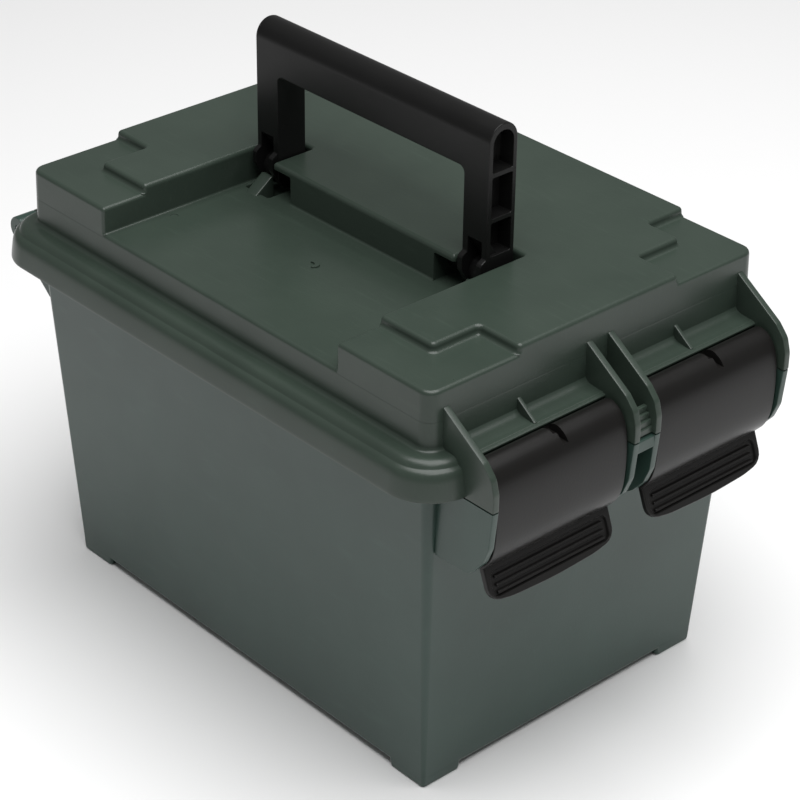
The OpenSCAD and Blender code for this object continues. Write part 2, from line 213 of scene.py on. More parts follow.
def rectangle(x0, x1, y0, y1, radius=0.0):
    """The corners of a rectangle, for outline()."""
    return [(x0, y0, radius), (x1, y0, radius), (x1, y1, radius), (x0, y1, radius)]


def centred(half_x, half_y, radius):
    return rectangle(-half_x, half_x, -half_y, half_y, radius)


def smooth(points, passes=2):
    """An open run of points with its corners cut, which turns a few points into a curve."""
    points = [Vector(point) for point in points]
    for _ in range(passes):
        cut = [points[0]]
        for a, b in zip(points, points[1:]):
            cut += [a.lerp(b, 0.25), a.lerp(b, 0.75)]
        points = cut + [points[-1]]
    return points


def sharp(points):
    """Points as corners with no radius, for outline()."""
    return [(point[0], point[1], 0) for point in points]


def round_top(radius, height, steps=3):
    """Levels (inset, height) that round the upper edge of a prism."""
    return [(radius * (1 - math.cos(math.pi / 2 * i / steps)),
             height - radius * (1 - math.sin(math.pi / 2 * i / steps))) for i in range(steps + 1)]


def round_bottom(radius, height, steps=3):
    return [(inset, 2 * height - level) for inset, level in reversed(round_top(radius, height, steps))]


def flare_bottom(radius, height, steps=3):
    """Levels that spread the foot of a prism into the surface that it stands on."""
    return [(-radius * (1 - math.sin(math.pi / 2 * i / steps)),
             height + radius * (1 - math.cos(math.pi / 2 * i / steps))) for i in range(steps + 1)]


def flare_top(radius, height, steps=3):
    return [(inset, 2 * height - level) for inset, level in reversed(flare_bottom(radius, height, steps))]


def both_ends(radius, start, end, steps=3):
    return round_bottom(radius, start, steps) + round_top(radius, end, steps)


UP = Matrix(((1, 0, 0), (0, 1, 0), (0, 0, 1)))
# An outline of (d, z) drawn out along X, one of (x, z) along Y, and one of (y, z) along X
ALONG_FRONT = Matrix(((0, 0, 1), (-1, 0, 0), (0, 1, 0)))
ALONG_Y = Matrix(((1, 0, 0), (0, 0, 1), (0, 1, 0)))
ALONG_X = Matrix(((0, 0, 1), (1, 0, 0), (0, 1, 0)))


def solid(rings):
    """A closed solid through rings of points, one mesh object in metres."""
    mesh = bpy.data.meshes.new("solid")
    count = len(rings[0])
    points = [Vector(point) * MM for ring in rings for point in ring]
    faces = [tuple(range(count))[::-1], tuple(range(len(points) - count, len(points)))]
    for level in range(len(rings) - 1):
        for i in range(count):
            after = (i + 1) % count
            faces.append((level * count + i, level * count + after,
                          (level + 1) * count + after, (level + 1) * count + i))
    mesh.from_pydata(points, [], faces)
    shape = bmesh.new()
    shape.from_mesh(mesh)
    bmesh.ops.recalc_face_normals(shape, faces=shape.faces)
    shape.to_mesh(mesh)
    shape.free()
    piece = bpy.data.objects.new("solid", mesh)
    bpy.context.scene.collection.objects.link(piece)
    return piece


def prism(corners, levels, turn=UP, steps=5):
    """An outline drawn out along an axis. Each level is (inset, distance along the axis)."""
    return solid([[turn @ Vector((point.x, point.y, along)) for point in outline(corners, inset, steps)]
                  for inset, along in levels])


def block(x0, x1, y0, y1, z0, z1):
    return prism(rectangle(x0, x1, y0, y1), [(0, z0), (0, z1)])


def lathe(profile, centre, axis, steps=40):
    """A solid of revolution. The profile is a run of (distance along the axis, radius above 0)."""
    turn = {"x": ALONG_X, "y": Matrix(((0, 1, 0), (0, 0, 1), (1, 0, 0))), "z": UP}[axis]
    rings = []
    for along, radius in profile:
        angles = [2 * math.pi * i / steps for i in range(steps)]
        rings.append([turn @ Vector((radius * math.cos(a), radius * math.sin(a), along)) + Vector(centre)
                      for a in angles])
    return solid(rings)


def rod(centre, axis, start, end, radius, edge=0.4):
    """A round bar with rounded ends, between two distances from its centre."""
    return lathe([(along, radius - inset) for inset, along in both_ends(edge, start, end, 2)], centre, axis)


def combine(base, others, operation):
    for other in others:
        modifier = base.modifiers.new("combine", "BOOLEAN")
        modifier.operation = operation
        modifier.solver = "MANIFOLD"
        modifier.object = other
    graph = bpy.context.evaluated_depsgraph_get()
    mesh = bpy.data.meshes.new_from_object(base.evaluated_get(graph))
    base.modifiers.clear()
    base.data = mesh
    for other in others:
        bpy.data.objects.remove(other)
    return base


def join(base, *others):
    return combine(base, others, "UNION")


def cut(base, *others):
    return combine(base, others, "DIFFERENCE")


def keep(base, other):
    return combine(base, [other], "INTERSECT")


SHARP_ANGLE = math.radians(32)


def dress(piece, name, body, slot, material, *nodes):
    """Names a finished piece, shades it, parents it to the body that it rides on and hides the CAD parts of
    the nodes that it stands for.
    """
    piece.name = name
    piece.data.name = name
    shape = bmesh.new()
    shape.from_mesh(piece.data)
    bmesh.ops.remove_doubles(shape, verts=shape.verts, dist=0.004 * MM)
    bmesh.ops.dissolve_degenerate(shape, edges=shape.edges, dist=0.004 * MM)
    bmesh.ops.recalc_face_normals(shape, faces=shape.faces)
    for face in shape.faces:
        face.smooth = True
        face.material_index = 0
    for edge in shape.edges:
        edge.smooth = len(edge.link_faces) == 2 and edge.calc_face_angle(0) < SHARP_ANGLE
    shape.to_mesh(piece.data)
    shape.free()
    piece.data.materials.clear()
    piece.data.materials.append(material)
    weigh = piece.modifiers.new("weigh", "WEIGHTED_NORMAL")
    weigh.keep_sharp = True
    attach(piece, body)
    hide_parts(*nodes)
    return piece


# ---------------------------------------------------------------- materials

def add_noise(nodes, links, coords, scale, detail):
    noise = nodes.new("ShaderNodeTexNoise")
    noise.inputs["Scale"].default_value = scale
    noise.inputs["Detail"].default_value = detail
    links.new(coords, noise.inputs["Vector"])
    return noise.outputs["Fac"]


def spread(nodes, links, value, source, target):
    """Maps one range of a value to another, clamped to the target."""
    change = nodes.new("ShaderNodeMapRange")
    change.inputs["From Min"].default_value, change.inputs["From Max"].default_value = source
    change.inputs["To Min"].default_value, change.inputs["To Max"].default_value = target
    links.new(value, change.inputs["Value"])
    return change.outputs["Result"]


def mix_noise(nodes, links, coords, scale, detail, low, high):
    """A noise from low to high. Its source range is wide, because a clipped noise shows as small dents."""
    return spread(nodes, links, add_noise(nodes, links, coords, scale, detail), (0.1, 0.9), (low, high))


def make_plastic(name, dark, light, roughness, ior, grain, scuffs):
    """A moulded plastic: cloudy colour, fine grain, a little waviness and faint scuffs."""
    material = bpy.data.materials.new(name)
    material.use_nodes = True
    nodes = material.node_tree.nodes
    links = material.node_tree.links
    shader = nodes["Principled BSDF"]
    shader.inputs["IOR"].default_value = ior
    coords = nodes.new("ShaderNodeTexCoord").outputs["Object"]

    colour = nodes.new("ShaderNodeMix")
    colour.data_type = "RGBA"
    colour.inputs["A"].default_value = (*dark, 1)
    colour.inputs["B"].default_value = (*light, 1)
    links.new(mix_noise(nodes, links, coords, 34, 5, 0.0, 1.0), colour.inputs["Factor"])

    # Fine scratches: a stretched noise, thinned to its crests
    stretch = nodes.new("ShaderNodeMapping")
    stretch.inputs["Rotation"].default_value = (0.3, 0.2, 0.6)
    stretch.inputs["Scale"].default_value = (900, 60, 240)
    links.new(coords, stretch.inputs["Vector"])
    scratch = add_noise(nodes, links, stretch.outputs["Vector"], 1.0, 2)
    crest = spread(nodes, links, scratch, (0.6, 0.9), (0.0, scuffs))
    worn = nodes.new("ShaderNodeMix")
    worn.data_type = "RGBA"
    worn.inputs["B"].default_value = (*[min(1.0, c * 1.6) for c in light], 1)
    links.new(crest, worn.inputs["Factor"])
    links.new(colour.outputs["Result"], worn.inputs["A"])
    links.new(worn.outputs["Result"], shader.inputs["Base Color"])

    links.new(mix_noise(nodes, links, coords, 60, 6, roughness - 0.04, roughness + 0.05),
              shader.inputs["Roughness"])

    # Grain of the mould, under a slow waviness of the wall
    fine = nodes.new("ShaderNodeBump")
    fine.inputs["Distance"].default_value = 0.00004
    fine.inputs["Strength"].default_value = grain
    links.new(mix_noise(nodes, links, coords, 1500, 3, 0.0, 1.0), fine.inputs["Height"])
    wavy = nodes.new("ShaderNodeBump")
    wavy.inputs["Distance"].default_value = 0.00025
    wavy.inputs["Strength"].default_value = 0.25
    links.new(add_noise(nodes, links, coords, 40, 1), wavy.inputs["Height"])
    links.new(fine.outputs["Normal"], wavy.inputs["Normal"])
    links.new(wavy.outputs["Normal"], shader.inputs["Normal"])
    return material


def make_steel():
    """Drawn steel wire with fine rings around it."""
    material = bpy.data.materials.new("pin_steel")
    material.use_nodes = True
    nodes = material.node_tree.nodes
    links = material.node_tree.links
    shader = nodes["Principled BSDF"]
    shader.inputs["Metallic"].default_value = 1
    shader.inputs["Base Color"].default_value = (0.52, 0.53, 0.55, 1)
    coords = nodes.new("ShaderNodeTexCoord").outputs["Object"]
    links.new(mix_noise(nodes, links, coords, 700, 4, 0.2, 0.42), shader.inputs["Roughness"])
    drawn = nodes.new("ShaderNodeMapping")
    drawn.inputs["Scale"].default_value = (60, 3000, 3000)
    links.new(coords, drawn.inputs["Vector"])
    bump = nodes.new("ShaderNodeBump")
    bump.inputs["Distance"].default_value = 0.00002
    bump.inputs["Strength"].default_value = 0.6
    links.new(mix_noise(nodes, links, drawn.outputs["Vector"], 1, 2, 0.0, 1.0), bump.inputs["Height"])
    links.new(bump.outputs["Normal"], shader.inputs["Normal"])
    return material


lid_green = make_plastic("lid_plastic", (0.027, 0.040, 0.031), (0.038, 0.054, 0.042),
                         roughness=0.30, ior=1.43, grain=0.5, scuffs=0.3)
tub_green = make_plastic("tub_plastic", (0.022, 0.044, 0.035), (0.031, 0.060, 0.049),
                         roughness=0.30, ior=1.46, grain=0.5, scuffs=0.3)
black = make_plastic("black_plastic", (0.006, 0.006, 0.0059), (0.009, 0.009, 0.0088),
                     roughness=0.30, ior=1.30, grain=0.6, scuffs=0.3)
latch_black = make_plastic("latch_plastic", (0.0078, 0.0074, 0.0070), (0.0105, 0.0100, 0.0095),
                           roughness=0.30, ior=1.30, grain=0.6, scuffs=0.3)
rubber = make_plastic("seal_rubber", (0.011, 0.011, 0.011), (0.017, 0.017, 0.017),
                      roughness=0.62, ior=1.5, grain=1.0, scuffs=0.0)
steel = make_steel()


# ---------------------------------------------------------------- lid

def mirror_y(half):
    """Closes an outline that is the same on both sides of the X axis."""
    return half + [(x, -y, r) for x, y, r in reversed(half)]


# The recess for the handle, with its two leg slots, walked from the +Y side to the -Y side
RECESS_EDGE = [(-HAT_HALF[0], RECESS_HALF_L, 1.2), (SLOT_X, RECESS_HALF_L, 1.0),
               (SLOT_X, LEG_SLOT_Y, 1.0), (BLOCK_X, LEG_SLOT_Y, 1.2)]


def corner_level():
    """Outline of the lid's top at the height of the four corner steps."""
    x, y = HAT_HALF
    return mirror_y([(x, y, HAT_R), (-x, y, HAT_R)] + RECESS_EDGE)


def plateau_level():
    """Outline of the plateau. Its corners step back twice on the +X side and once on the -X side."""
    x, y = HAT_HALF
    right = [(x, STAIR_Y[1], 1.9), (STAIR_X[1], STAIR_Y[1], 1.6), (STAIR_X[1], STAIR_Y[0], 1.9),
             (STAIR_X[0], STAIR_Y[0], 1.6), (STAIR_X[0], y, 1.9)]
    left = [(-STAIR_X[0], y, 1.9), (-STAIR_X[0], STAIR_Y[0], 1.6), (-STAIR_X[1], STAIR_Y[0], 1.9),
            (-STAIR_X[1], RECESS_HALF_L, 1.6)]
    return mirror_y(right + left + RECESS_EDGE[1:])


def on_hat_wall(corners, i):
    """Whether the edge after a corner lies on the hat's outer walls."""
    x0, y0, _ = corners[i]
    x1, y1, _ = corners[(i + 1) % len(corners)]
    flat_x = x0 == x1 and abs(x0) == HAT_HALF[0]
    flat_y = y0 == y1 and abs(y0) == HAT_HALF[1]
    return flat_x or flat_y


def in_recess(corners, i):
    """Whether the edge after a corner lies on the recess or on a leg slot."""
    ends = (corners[i], corners[(i + 1) % len(corners)])
    return all(abs(y) <= RECESS_HALF_L and x <= SLOT_X for x, y, _ in ends)


def hat_step(corners, low, high, foot, edge, inset=0.0, start=None):
    """One storey of the hat: drafted outer walls, a spread foot on the inner walls and a round top edge.

    A storey that starts below its foot hides the round edge of the storey below it.
    """
    count = len(corners)
    outer = [on_hat_wall(corners, i) for i in range(count)]
    plain = [start is not None and in_recess(corners, i) for i in range(count)]

    def insets(amount, level, spread):
        draft = HAT_DRAFT * (level - PLATEAU_Z)
        return [amount + inset + (draft if outer[i] else 0 if plain[i] else spread) for i in range(count)]

    start = low - 1 if start is None else start
    levels = [(insets(0, start, -foot), start)]
    levels += [(insets(0, level, spread), level) for spread, level in flare_bottom(foot, low)]
    levels += [(insets(amount, level, 0), level) for amount, level in round_top(edge, high, 4)]
    return prism(corners, levels, steps=5)


def make_hat():
    base = centred(*HAT_HALF, HAT_R)
    draft = HAT_DRAFT * (DECK_Z - PLATEAU_Z)
    levels = [(draft - 1.6, DECK_Z - 1.2)]
    levels += [(draft + spread, level) for spread, level in flare_bottom(1.6, DECK_Z, 4)]
    levels += [(HAT_DRAFT * (level - PLATEAU_Z) + amount, level)
               for amount, level in round_top(1.6, RECESS_Z, 4)]
    hat = join(prism(base, levels, steps=5),
               hat_step(corner_level(), RECESS_Z, CORNER_Z, 0.8, 1.6),
               hat_step(plateau_level(), CORNER_Z, PLATEAU_Z, 1.5, 1.6, -0.02, RECESS_Z + 1.2))
    inner = join(prism(centred(HAT_HALF[0] - WALL, HAT_HALF[1] - WALL, 1.6),
                       [(0, DECK_Z - 2), (0, RECESS_Z - WALL)]),
                 hat_step(corner_level(), RECESS_Z - WALL, CORNER_Z - WALL, 0.1, 0.6, WALL),
                 hat_step(plateau_level(), CORNER_Z - WALL, PLATEAU_Z - WALL, 0.1, 0.6, WALL))
    hat = cut(hat, cut(inner, *[space(s, WALL) for s in (-1, 1) for space in (well, pivot_bay)]))
    return cut(hat, *[space(s, 0) for s in (-1, 1) for space in (well, pivot_bay)])


def pivot_bay(side, grow):
    """The space under a roof beside a leg slot, where the handle's boss turns."""
    y0, y1 = sorted((side * (BLOCK_HALF_L - grow), side * (LEG_SLOT_Y + 3)))
    return prism(rectangle(BLOCK_X - 3, SLOT_X - 0.1 + grow, y0, y1, 0.8),
                 [(0, RECESS_Z - grow + 0.01), (0, ROOF_Z - 0.5 + grow), (0.5, ROOF_Z + grow)])


def well(side, grow):
    """The pocket in the recess floor that one foot of the handle stands in."""
    y0 = HANDLE_HALF_L - LEG_W - WELL_GAP - grow
    y1 = HANDLE_HALF_L + WELL_GAP + grow
    if side < 0:
        y0, y1 = -y1, -y0
    corners = rectangle(WELL_X - grow, SLOT_X - 0.05 + grow, y0, y1, 1.0)
    rim = flare_top(0.5, RECESS_Z) if grow == 0 else [(0, RECESS_Z)]
    floor = [(0.4, WELL_Z - grow), (0, WELL_Z - grow + 0.4)]
    return prism(corners, floor + rim + [(rim[-1][0], RECESS_Z + 2)])


# The skirt's outside, as (inset, height): a soft bead, a valley and a second soft step up to the deck
SKIRT_PROFILE = [(1.3, 0.0), (0.6, 0.15), (0.15, 0.5), (0, 1.0), (0.1, 2.0), (0.45, 4.6), (0.85, 7.2),
                 (1.2, 8.8), (1.8, 10.1), (2.6, 10.95), (3.4, 11.3), (3.7, 11.6), (4.0, 12.2), (4.6, 13.0),
                 (5.5, 13.6), (6.6, 13.92), (8.0, 14.0)]


def bay_span(side):
    """The stretch in x between a hasp rib and a cheek, where one latch sits."""
    return sorted((side * CHEEK_X[0], side * CHEEK_X[1]))


def make_skirt():
    """The lid's stepped skirt, hollow below, with a bay cut out of its front for each latch."""
    corners = centred(*SKIRT_HALF, SKIRT_R)
    skirt = prism(corners, [(inset, SKIRT_BASE + rise) for inset, rise in SKIRT_PROFILE], steps=14)
    hollow = [(SKIRT_WALL + amount, level) for amount, level in round_top(1.5, DECK_Z - DECK_T)]
    cavity = prism(corners, [(SKIRT_WALL, SKIRT_BASE - 1)] + hollow, steps=10)
    half = [RIM_HALF[i] - WALL / 2 - GROOVE_GAP - GROOVE_WALL for i in range(2)]
    window = prism(centred(*half, 4.5), [(0, SKIRT_BASE), (0, DECK_Z + 3)])
    bays = [block(*bay_span(s), -BAY_D - 20, -BAY_D, SKIRT_BASE - 1, DECK_Z + 15) for s in (-1, 1)]
    return cut(skirt, cavity, window, *bays)


def groove_wall(offset):
    """One of the two walls that hold the seal, a ring at an offset from the seal's middle."""
    half = [RIM_HALF[i] - WALL / 2 + offset for i in range(2)]
    radius = RIM_R - WALL / 2 + offset
    outer = prism(centred(*half, radius), round_bottom(0.4, GROOVE_Z) + [(0, DECK_Z - 1)])
    inner = prism(centred(*half, radius), [(GROOVE_WALL - 0.3, GROOVE_Z - 1), (GROOVE_WALL, GROOVE_Z + 0.4),
                                           (GROOVE_WALL, DECK_Z)])
    return cut(outer, inner)


# Side view of a cheek and of a hasp rib, as (d, z, radius), before it is split between lid and tub
CHEEK_OUTLINE = [(108, 166.2, 0.5), (108, 106.6, 0.5), (119, 106.6, 6), (125.5, 107, 6), (128.4, 109.2, 4),
                 (133, 114.6, 5), (135.6, 121, 8), (137.2, 137, 12), (137.2, 143, 6), (135.6, 148.6, 5),
                 (131.5, 153.2, 5), (112.4, 165.8, 1.0)]


def cheek(x, low, high):
    """The stretch of one cheek between two heights, with rounded edges."""
    plate = prism(CHEEK_OUTLINE, both_ends(0.5, x - CHEEK_T / 2, x + CHEEK_T / 2, 2), ALONG_FRONT, 4)
    return keep(plate, block(-100, 100, -145, -105, low, high))


def cheek_places():
    return [s * x for s in (-1, 1) for x in CHEEK_X]


def latch_bay(side):
    """The lid's wall behind one latch, the ledge over the latch and the gusset on the ledge."""
    x0, x1 = bay_span(side)
    wall = prism(rectangle(BAY_D - SKIRT_WALL, BAY_D, SKIRT_BASE, DECK_Z, 0.4),
                 [(0, x0), (0, x1)], ALONG_FRONT)
    lip = [(LEDGE_BACK, LEDGE_LOW), (BAY_D, LEDGE_LOW), (LEDGE_D, LEDGE_LOW + 0.4),
           (LEDGE_D, LEDGE_LOW + 0.9), (LEDGE_D - 0.5, LEDGE_LOW + 1.3)]
    hollow = [(115.6 - LEDGE_R * math.sin(a), LEDGE_TOP + LEDGE_R - LEDGE_R * math.cos(a))
              for a in [math.pi / 2 * i / 6 for i in range(7)]]
    ledge = prism(sharp(lip + hollow + [(LEDGE_BACK, LEDGE_TOP + LEDGE_R)]),
                  [(0, x0), (0, x1)], ALONG_FRONT)
    gusset = [(111.4, 149.2, 0.3), (BAY_D - 0.3, 149.2, 0.3), (BAY_D - 0.2, DECK_Z + 0.2, 0.3),
              (112.6, 156.4, 0.3), (111.4, 157, 0.3)]
    middle = side * LATCH_MID
    return [wall, ledge, prism(gusset, both_ends(0.35, middle - 0.8, middle + 0.8, 2), ALONG_FRONT, 2)]


def lid_cheek(x):
    """The upper half of a cheek or hasp rib, cut back where it would fill the lid."""
    return cut(cheek(x, SKIRT_BASE + SPLIT_GAP / 2, 170),
               block(-100, 100, -BAY_D + SKIRT_WALL, -100, 120, DECK_Z - 0.5),
               block(-100, 100, -HAT_HALF[1] + 1.0, -100, 120, 180))


def pivot_rod(side, start, radius, edge):
    """A rod at one of the handle's pivots, drawn inwards into the block between the legs."""
    reach = sorted((0, -side * (SOCKET_DEPTH + 1)))
    return rod((PIVOT[0], side * start, PIVOT[1]), "y", *reach, radius, edge)


def ramp(side):
    """The rib in a well that the groove in the handle's foot passes over."""
    top_x, top_z = RAMP_TOP
    corners = [(-17.6, RECESS_Z - 0.6, 0), (WELL_X, WELL_Z - 0.6, 0), (top_x, WELL_Z - 0.6, 0),
               (top_x, top_z - 0.3, 0.5), (top_x - 1.2, top_z, 0.6), (-16.4, RECESS_Z + 0.1, 0.3)]
    middle = side * RAMP_Y
    return prism(corners, both_ends(0.8, middle - RAMP_HALF_W, middle + RAMP_HALF_W, 2), ALONG_Y, 3)


def make_lid():
    parts = [make_hat(), groove_wall(GROOVE_GAP + GROOVE_WALL), groove_wall(-GROOVE_GAP)]
    for s in (-1, 1):
        parts += latch_bay(s)
    parts += [lid_cheek(x) for x in cheek_places()]
    parts += hasp_lid()
    parts += lid_hinge()
    for s in (-1, 1):
        parts += [pivot_rod(s, BLOCK_HALF_L - 1, SOCKET_BOSS_R, 0.5), ramp(s)]
    lid = join(make_skirt(), *parts)
    bores = [rod((x, *HINGE), "x", -18, 18, HINGE_PIN_R + RUN_GAP, 0.1) for x in (-HINGE_X, HINGE_X)]
    reach = LATCH_HALF_W + 3.0
    for s in (-1, 1):
        bores.append(pivot_rod(s, BLOCK_HALF_L + 1, TRUNNION_R + RUN_GAP, 0.1))
        bores.append(rod((s * LATCH_MID, -PIN_D, PIN_Z), "x", -reach, reach, LATCH_TRUNNION_R + RUN_GAP, 0.1))
    # Marks of the moulding on the recess floor: a crescent gate mark and an ejector pin
    x, y = GATE
    nub = cut(rod((x, y, RECESS_Z), "z", -0.5, 0.7, 2.2, 0.3),
              rod((x - 1.2, y + 1.0, RECESS_Z), "z", -1, 1.2, 1.9, 0.1))
    dimple = rod((*EJECTOR, RECESS_Z), "z", -0.25, 1, 1.6, 0.1)
    lid = join(cut(lid, *bores, dimple), nub)
    return dress(lid, "lid_shell", "lid_body", "lid_plastic", lid_green, "lid")


def hasp_lid():
    """The lid's half of the hasp: a crossbar with three small steps between the ribs."""
    bars = []
    low = SKIRT_BASE + SPLIT_GAP / 2
    for reach, top in ((-4.2, 145.8), (-3.0, 143.6), (-1.9, 141.4), (-1.2, 139.0)):
        corners = rectangle(HASP_D - 6, HASP_D + reach, low, top, 0.35)
        bars.append(prism(corners, [(0, -CHEEK_X[0]), (0, CHEEK_X[0])], ALONG_FRONT, 3))
    return bars


def lid_hinge():
    """The lid's knuckle and arm at each rear hinge."""
    parts = []
    for x in (-HINGE_X, HINGE_X):
        parts.append(rod((x, *HINGE), "x", -LID_KNUCKLE_HALF, LID_KNUCKLE_HALF, KNUCKLE_R, 0.5))
        arm = [(122.5, HINGE[1] + 0.3, 0.3), (HINGE[0], HINGE[1] + 0.3, 0.3),
               (HINGE[0] + 0.3, HINGE[1] + KNUCKLE_R - 0.03, 0.3), (122.5, HINGE[1] + KNUCKLE_R, 0.3)]
        parts.append(prism(arm, both_ends(0.5, x - LID_KNUCKLE_HALF, x + LID_KNUCKLE_HALF, 2), ALONG_X, 2))
    return parts


# ---------------------------------------------------------------- tub

def tub_ring(level, inset, radius):
    """The tub's wall in plan at a height, which widens upwards."""
    grow = TUB_TAPER * level - inset
    corners = centred(TUB_HALF_X + grow, TUB_HALF_Y + grow, radius)
    return [Vector((p.x, p.y, level)) for p in outline(corners)]


def tub_loft(levels):
    """A tapered body. Its upright corners are nearly sharp at the floor and round off towards the rim."""
    return solid([tub_ring(level, inset, max(1.4 + 0.019 * level - inset, 0.5)) for inset, level in levels])


def make_foot(side_x, side_y):
    """One corner foot, which follows the walls outside and tapers inside."""
    levels = round_bottom(0.9, 0) + [(0, FOOT_H + 1.5)]
    rings = []
    for inset, level in levels:
        x = TUB_HALF_X + TUB_TAPER * level
        y = TUB_HALF_Y + TUB_TAPER * level
        x0, x1 = sorted((side_x * (TUB_HALF_X - FOOT_L - 0.15 * level), side_x * x))
        y0, y1 = sorted((side_y * (TUB_HALF_Y - FOOT_L - 0.15 * level), side_y * y))
        rings.append([Vector((p.x, p.y, level)) for p in outline(rectangle(x0, x1, y0, y1, 1.4), inset)])
    return solid(rings)


def make_tub():
    top = FLANGE_Z + FLANGE_T - 0.2
    shell = tub_loft(round_bottom(1.6, FOOT_H, 4) + [(0, 50), (0, 100), (0, top)])
    flange = prism(centred(*FLANGE_HALF, 17), both_ends(0.5, FLANGE_Z, FLANGE_Z + FLANGE_T, 2), steps=8)
    bay = CHEEK_X[1] + CHEEK_T
    flange = cut(flange, block(-bay, bay, -BAY_D - 20, -BAY_D + 3, FLANGE_Z - 2, FLANGE_Z + 5))
    rim = prism(centred(*RIM_HALF, RIM_R), [(0, FLANGE_Z + 0.3)] + round_top(0.6, RIM_Z), steps=8)
    parts = [make_foot(sx, sy) for sx in (-1, 1) for sy in (-1, 1)] + [flange, rim]
    for x in cheek_places():
        parts.append(cut(cheek(x, 100, SKIRT_BASE - SPLIT_GAP), block(-100, 100, -110, -100, 100, 140)))
    bar = rectangle(HASP_D - 5, HASP_D, 130.9, SKIRT_BASE - SPLIT_GAP, 0.6)
    parts.append(prism(bar, [(0, -CHEEK_X[0]), (0, CHEEK_X[0])], ALONG_FRONT, 3))
    for s in (-1, 1):
        x0, x1 = bay_span(s)
        catch = [(109, CATCH[1], 0.2), (CATCH[0], CATCH[1], 0.4), (CATCH[0], CATCH[1] + 2, 0.8),
                 (CATCH[0] - 2, CATCH[1] + 3, 0.6), (109, CATCH[1] + 3, 0.2)]
        parts.append(prism(catch, [(0, x0), (0, x1)], ALONG_FRONT, 3))
    parts += tub_hinge()
    tub = join(shell, *parts)
    tub_inside = solid([tub_ring(level, WALL + amount, max(1.0 - amount, 0.5))
                        for amount, level in round_bottom(2.0, FOOT_H + WALL, 4) + [(0, FLANGE_Z + 0.5)]])
    mouth = prism(centred(RIM_HALF[0] - WALL, RIM_HALF[1] - WALL, RIM_R - WALL),
                  [(0, FLANGE_Z - 0.01)] + flare_top(0.4, RIM_Z) + [(-0.4, RIM_Z + 2)], steps=8)
    bores = [rod((x, *HINGE), "x", -30, 30, HINGE_PIN_R - PRESS, 0.1) for x in (-HINGE_X, HINGE_X)]
    tub = cut(tub, tub_inside, mouth, *bores)
    return dress(tub, "tub_shell", "tub_body", "tub_plastic", tub_green, "tub")


def tub_hinge():
    """The tub's two knuckles and arms at each rear hinge, either side of the lid's."""
    parts = []
    reach = LID_KNUCKLE_HALF + KNUCKLE_GAP
    for x in (-HINGE_X, HINGE_X):
        for s in (-1, 1):
            x0, x1 = sorted((x + s * reach, x + s * (reach + TUB_KNUCKLE_L)))
            parts.append(rod((0, *HINGE), "x", x0, x1, KNUCKLE_R, 0.5))
            arm = [(109.6, 112, 0.5), (HINGE[0] + 2, HINGE[1] - 4.4, 0.5), (HINGE[0], HINGE[1], 0.3),
                   (127.4, HINGE[1], 0.3), (127.4, SKIRT_BASE - 0.6, 0.2), (110.5, SKIRT_BASE - 0.6, 0.3)]
            parts.append(prism(arm, both_ends(0.5, x0, x1, 2), ALONG_X, 2))
    return parts


# ---------------------------------------------------------------- latches

LATCH_OUTER = [(126.2, 150.2), (129.0, 149.5), (131.4, 147.6), (133.6, 144.2), (134.9, 138.5), (135.2, 131),
               (134.9, 122.5), (134.0, 116.8), (132.0, 112.0), (128.6, 108.3)]
LATCH_INNER = [(126.9, 110.0), (130.1, 113.8), (131.6, 117.6), (132.4, 122.8), (132.8, 132), (132.4, 138.8),
               (131, 143), (128.6, 145.8), (126.2, 145.6)]
TAB_ROOT = (128.6, 108.3)
TAB_TILT = math.radians(21)
TAB_HALF_W = 29.9
TAB_LENGTH = 14.6
TAB_T = 2.4


def tab_outline():
    """The tab's face, with round lower corners and a bowed lower edge. Its root is at 0."""
    half = TAB_HALF_W
    low = -TAB_LENGTH
    return [(half, 1.6, 0.2), (-half, 1.6, 0.2), (-half, low + 2.6, 5.4), (-half + 10, low + 0.8, 40),
            (0, low, 200), (half - 10, low + 0.8, 40), (half, low + 2.6, 5.4)]


